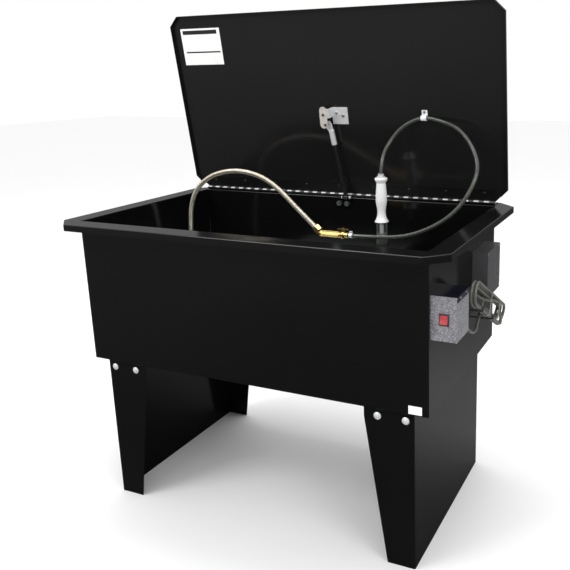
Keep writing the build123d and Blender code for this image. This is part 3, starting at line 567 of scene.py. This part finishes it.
IN_X, OUT_X = 493.2, 502.2
BACK = [95, 55, 10, -35, -80, -112]
FORTH = [-112, -75, -30, 15, 60, 100]
cord_points = [mm(*p) for p in (
    (484, -171, 560), (484, -139, 560), (487, -100, 516), (490, -54, 499), (484, -18, 512),
    (483.6, 4, 528),
)]
cord_points += [hank(8, -9, 484.2), hank(40, -6, 486), hank(75, -7, 484), hank(105, -9, 483)]
cord_points += fold(116, -9.5, 25.5, 482.5, 487.5, 1)
cord_points += [hank(96, 25.8, 490.5)] + run(BACK[1:], 25.8, IN_X, 0)
cord_points += fold(-125, 25.8, -25.8, IN_X, IN_X, -1) + run(FORTH, -25.8, IN_X, 1)
cord_points += fold(124.5, -25.8, 25.8, IN_X, OUT_X, 1) + run([112] + BACK, 25.8, OUT_X, 2)
cord_points += fold(-125, 25.8, -25.8, OUT_X, OUT_X, -1) + run(FORTH[:-1] + [92], -25.8, OUT_X, 3)
cord_points += fold(110, -25.8, 17.6, OUT_X, IN_X, 1) + run(BACK, 17.6, IN_X, 4)
cord_points += fold(-124.5, 17.6, -17.6, IN_X, IN_X, -1)
cord_points += run([-112, -75, -30, 15, 55, 80], -17.6, IN_X, 5)
cord_points += fold(92, -17.6, 17.6, IN_X, OUT_X, 1) + run([78, 52], 17.6, OUT_X, 6)
cord_points += [hank(22, 15, OUT_X - 0.3), hank(-8, 8, 497.0), hank(-32, 5, 488.5)]
cord_points += [mm(475.5, -34, 586), mm(468, -66, 600), mm(468, -98.5, 600)]
cord = nurbs("mains_cord", cord_points, CORD_R, M["cord"], 8)
line = centreline(cord_points)
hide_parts("power_cord", "cord_hank")
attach(cord, "cabinet")

# tapered, ribbed strain relief where the cord leaves the gland
GLAND_FRONT_Y, RELIEF_RINGS = -0.1525, 34
part = even(line, 0.001)
start = next(i for i, p in enumerate(part) if p.y > GLAND_FRONT_Y)
sleeve = part[start:start + RELIEF_RINGS]
radii = []
for i in range(len(sleeve)):
    taper = 0.0058 - 0.0016 * i / (RELIEF_RINGS - 1)
    groove = i % 5 in (3, 4) and i < RELIEF_RINGS - 3
    radii.append(taper - (0.0007 if groove else 0.0))
relief = tube("cord_strain_relief", sleeve, radii, M["black_plastic"], 24)
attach(relief, "cabinet")

# ------------------------------------------------------------------ bristles
STRANDS, SKIRT_STRANDS, STRAND_RINGS = 700, 40, 6
STRAND_END_Z, STRAND_R, BUNDLE_R = 628.3, 0.34, 15.4
bm = bmesh.new()
centre = mm(176, 150, 0)
for k in range(STRANDS):
    skirt = k < SKIRT_STRANDS
    ring_r = 12.6 + 1.2 * random.random() if skirt else 1.5 + 11.8 * math.sqrt(random.random())
    a = random.random() * 2 * math.pi
    top = 688.8 if skirt else 656.0 + 8.0 * random.random()
    if not skirt and ring_r < 6.8:
        top = 648.0
    flare = 1.0 + 0.10 * random.random()
    twist = random.uniform(-0.10, 0.10)
    base = None
    for j in range(STRAND_RINGS):
        f = j / (STRAND_RINGS - 1)
        z = top + (STRAND_END_Z + 2.5 * (k % 5) / 5 - top) * f
        r = min(ring_r * (1 + (flare - 1) * f), BUNDLE_R)
        b = a + twist * f
        w = STRAND_R * (1 - 0.45 * f)
        ring = [
            bm.verts.new(centre + Vector((
                r * math.cos(b) + w * math.cos(c), r * math.sin(b) + w * math.sin(c), z)) / 1000.0)
            for c in (b, b + 2.094, b + 4.189)
        ]
        if base:
            for m in range(3):
                bm.faces.new((base[m], base[(m + 1) % 3], ring[(m + 1) % 3], ring[m])).smooth = True
        else:
            bm.faces.new(ring)
        base = ring
    bm.faces.new(list(reversed(base)))
bmesh.ops.recalc_face_normals(bm, faces=bm.faces)
mesh = bpy.data.meshes.new("bristle_strands")
bm.to_mesh(mesh)
bm.free()
bristles = object_of("bristle_strands", mesh, M["bristle"])
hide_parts("brush_bristles")
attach(bristles, "brush")

# ------------------------------------------------------------------ camera
cam_data = bpy.data.cameras.new("camera")
cam = bpy.data.objects.new("camera", cam_data)
bpy.context.collection.objects.link(cam)
cam_data.sensor_width = 36.0
cam_data.lens = 45.0
cam_data.shift_x = -0.1646
cam_data.shift_y = -0.0725
cam_data.clip_start = 0.05
cam_data.clip_end = 60.0
YAW, PITCH, ROLL = 0.413, -0.236, -0.017
level = math.cos(PITCH)
forward = Vector((-math.sin(YAW) * level, math.cos(YAW) * level, math.sin(PITCH)))
right = Vector((math.cos(YAW), math.sin(YAW), 0))
up = right.cross(forward)
right, up = (
    right * math.cos(ROLL) + up * math.sin(ROLL),
    up * math.cos(ROLL) - right * math.sin(ROLL),
)
axes = Matrix((right, up, -forward)).transposed().to_4x4()
cam.matrix_world = Matrix.Translation(mm(900.0, -1523.3, 1071.6)) @ axes
bpy.context.scene.camera = cam

# ------------------------------------------------------------------ floor, world and lights
FLOOR_HALF = 14.0
bm = bmesh.new()
bmesh.ops.create_grid(bm, x_segments=2, y_segments=2, size=FLOOR_HALF)
mesh = bpy.data.meshes.new("floor")
bm.to_mesh(mesh)
bm.free()
g = Graph("floor_pale_painted_reflection")
g.set(Specular_IOR_Level=0.1, Roughness=0.9)
path = g.t.nodes.new("ShaderNodeLightPath")
tone = g.mix(g.noise(3, 3), (0.90, 0.90, 0.90), (0.92, 0.92, 0.92))
apart = g.t.nodes.new("ShaderNodeSeparateXYZ")
g.link(g.coord, apart.inputs[0])
# floor seen in gloss only: painted reflection, darker and lighter bands by depth and then by width,
# which the washer's glossy paint shows
painted_reflection = g.ramp(g.span(apart.outputs["Y"], 0.0, 1.0, -6.0, 4.0), [
    (0.0, 0.18), (0.25, 0.17), (0.36, 0.09), (0.44, 0.06), (0.55, 0.04), (0.60, 0.12), (0.64, 0.25),
    (0.67, 0.22), (0.71, 0.15), (0.84, 0.05), (1.0, 0.05)])
painted_reflection_width = g.ramp(g.span(apart.outputs["X"], 0.0, 1.0, -2.0, 2.0), [
    (0.0, 1.0), (0.15, 1.0), (0.38, 0.65), (0.57, 0.65), (0.70, 1.0)])
painted_reflection = g.mix(1.0, painted_reflection, painted_reflection_width, "MULTIPLY")
g.colour(g.mix(path.outputs["Is Glossy Ray"], tone, painted_reflection))
floor = object_of("floor", mesh, g.done())

world = bpy.data.worlds.new("studio")
bpy.context.scene.world = world
world.use_nodes = True
wt = world.node_tree
wt.nodes.clear()
w_out = wt.nodes.new("ShaderNodeOutputWorld")
w_mix = wt.nodes.new("ShaderNodeMixShader")
w_path = wt.nodes.new("ShaderNodeLightPath")
w_white = wt.nodes.new("ShaderNodeBackground")
w_white.inputs[0].default_value = (1, 1, 1, 1)
w_white.inputs[1].default_value = 1.0
w_room = wt.nodes.new("ShaderNodeBackground")
w_room.inputs[1].default_value = 1.0
w_soft = wt.nodes.new("ShaderNodeBackground")
w_soft.inputs[0].default_value = (1, 1, 1, 1)
w_soft.inputs[1].default_value = 1.05
w_coord = wt.nodes.new("ShaderNodeTexCoord")
w_sep = wt.nodes.new("ShaderNodeSeparateXYZ")
wt.links.new(w_coord.outputs["Generated"], w_sep.inputs[0])


def world_ramp(socket, stops):
    low = wt.nodes.new("ShaderNodeMapRange")
    low.inputs["From Min"].default_value = -1.0
    low.inputs["From Max"].default_value = 1.0
    ramp = wt.nodes.new("ShaderNodeValToRGB")
    while len(ramp.color_ramp.elements) < len(stops):
        ramp.color_ramp.elements.new(0.5)
    for element, (place, value) in zip(ramp.color_ramp.elements, stops):
        element.position = place
        element.color = (value, value, value, 1)
    wt.links.new(socket, low.inputs["Value"])
    wt.links.new(low.outputs[0], ramp.inputs[0])
    return ramp.outputs[0]


# room seen in gloss: nearly even all round, bright overhead
around = world_ramp(w_sep.outputs["Y"], [(0.0, 0.24), (0.45, 0.28), (0.75, 0.22), (1.0, 0.20)])
overhead = world_ramp(w_sep.outputs["Z"], [(0.0, 0.0), (0.55, 0.0), (0.78, 0.45), (1.0, 1.1)])
w_add = wt.nodes.new("ShaderNodeMix")
w_add.data_type = "RGBA"
w_add.blend_type = "ADD"
w_add.inputs[0].default_value = 1.0
wt.links.new(around, w_add.inputs[6])
wt.links.new(overhead, w_add.inputs[7])
wt.links.new(w_add.outputs[2], w_room.inputs[0])
w_gloss = wt.nodes.new("ShaderNodeMixShader")
wt.links.new(w_path.outputs["Is Glossy Ray"], w_gloss.inputs[0])
wt.links.new(w_soft.outputs[0], w_gloss.inputs[1])
wt.links.new(w_room.outputs[0], w_gloss.inputs[2])
wt.links.new(w_path.outputs["Is Camera Ray"], w_mix.inputs[0])
wt.links.new(w_gloss.outputs[0], w_mix.inputs[1])
wt.links.new(w_white.outputs[0], w_mix.inputs[2])
wt.links.new(w_mix.outputs[0], w_out.inputs[0])


def softbox(name, at, aim, width, height, power):
    data = bpy.data.lights.new(name, "AREA")
    data.shape = "RECTANGLE"
    data.size = width
    data.size_y = height
    data.energy = power
    o = bpy.data.objects.new(name, data)
    bpy.context.collection.objects.link(o)
    o.location = at
    o.rotation_euler = (Vector(aim) - Vector(at)).to_track_quat("-Z", "Y").to_euler()
    return o


softbox("key", (-1.6, -2.2, 3.0), (0, 0, 0.6), 1.4, 1.0, 40)
softbox("fill", (2.6, -1.6, 2.4), (0, 0, 0.6), 1.2, 1.0, 22)
softbox("top", (0.0, 0.4, 3.4), (0, 0, 0.6), 2.4, 1.0, 36)

scene = bpy.context.scene
scene.view_settings.view_transform = "Standard"
scene.view_settings.look = "None"
